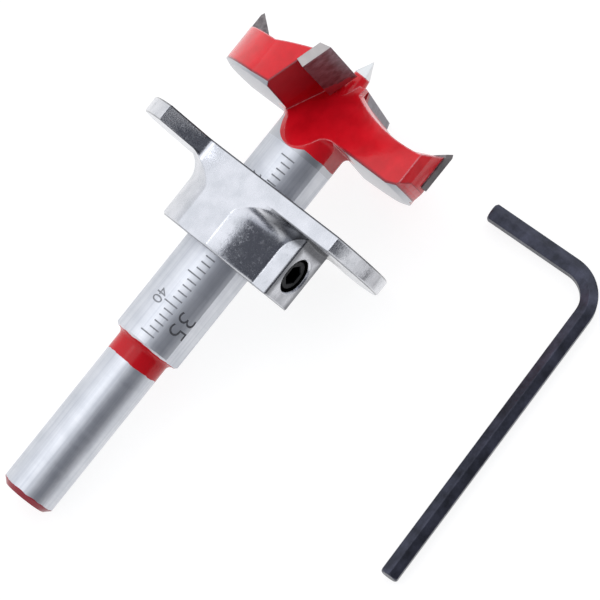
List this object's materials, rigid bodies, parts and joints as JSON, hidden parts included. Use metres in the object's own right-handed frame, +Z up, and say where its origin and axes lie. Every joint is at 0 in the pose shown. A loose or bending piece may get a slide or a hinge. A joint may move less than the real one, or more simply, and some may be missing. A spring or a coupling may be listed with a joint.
{
  "type": "hinge boring bit with depth stop",
  "caption": "Boring bit for hinge cup holes, with carbide cutters and spurs on a red head, a graduated barrel, a clamped depth-stop collar and its hexagon key.",
  "frame": {"origin": "centre of the set's box on the table, with the bit lying beside its key", "axes": "+Z up, +X from the shank towards the cutting head, +Y from the key towards the bit"},
  "size_m": [0.0752, 0.0658, 0.0347],
  "materials": {
    "ground_steel": "ground bright",
    "red_paint": "gloss",
    "carbide": "ground, grey tungsten carbide",
    "collar_aluminium": "satin",
    "black_steel": "black oxide, satin"
  },
  "bodies": {
    "bit": {"shank_barrel": "ground_steel", "cutter_head": "red_paint", "main_cutter_a": "carbide", "main_cutter_b": "carbide", "spur_a": "carbide", "spur_b": "carbide", "centre_point": "carbide"},
    "stop_collar": {"stop_collar": "collar_aluminium"},
    "set_screw": {"set_screw": "black_steel"},
    "hex_key": {"hex_key": "black_steel"}
  },
  "joints": [
    {"name": "collar_slide", "type": "slide", "parent": "bit", "child": "stop_collar", "axis": [0.9811, 0, 0.1936], "range_m": [-0.0145, 0.005]},
    {"name": "screw_travel", "type": "slide", "parent": "stop_collar", "child": "set_screw", "axis": [-0.0558, -0.9576, 0.2825], "range_m": [0, 0.0024]},
    {"name": "key_lift", "type": "slide", "parent": "bit", "child": "hex_key", "axis": [0, 0, 1], "range_m": [0, 0.05]}
  ]
}
